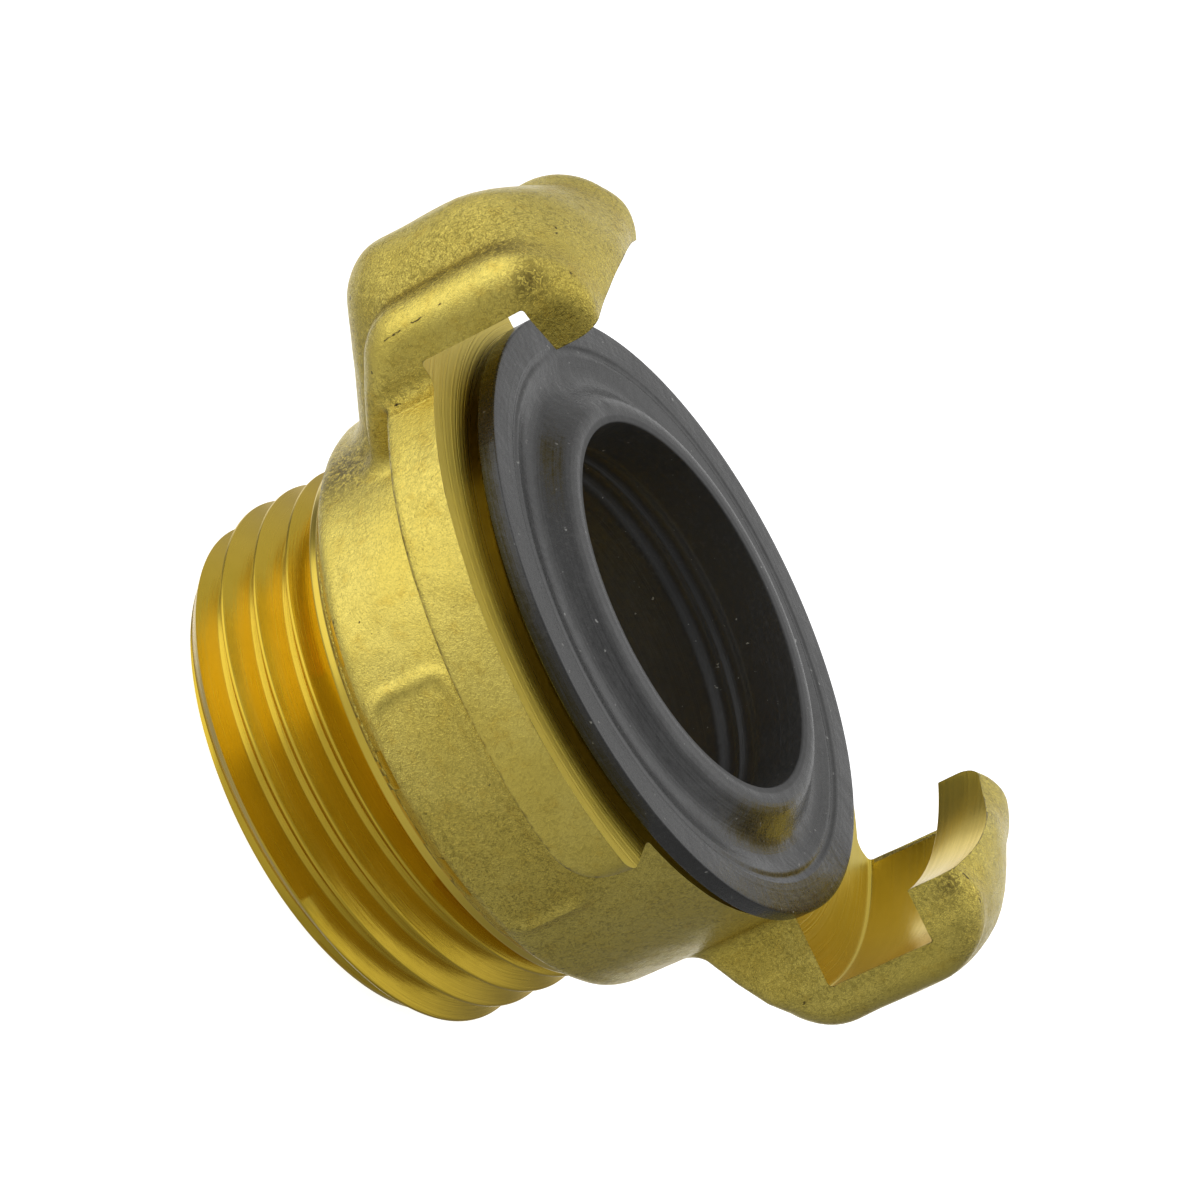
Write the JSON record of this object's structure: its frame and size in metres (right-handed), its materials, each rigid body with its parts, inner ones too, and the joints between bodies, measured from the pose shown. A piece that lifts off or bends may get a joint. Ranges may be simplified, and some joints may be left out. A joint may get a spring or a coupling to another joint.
{
  "type": "quick_claw_coupling_male_thread",
  "caption": "Forged brass quick claw coupling half with a male pipe thread, cam lobes that mating claws hook behind, and a moulded rubber sealing ring in its mouth.",
  "frame": {"origin": "centre of the thread's end face", "axes": "+Z along the waterway, from the thread's end to the sealing face and claws; +X through the middle of a claw"},
  "size_m": [0.0556, 0.0444, 0.0331],
  "materials": {
    "brass": "forged and blasted, satin, with turned faces",
    "rubber": "moulded, satin"
  },
  "bodies": {
    "root": {"coupling_body": "brass", "seal_ring": "rubber"}
  },
  "joints": []
}
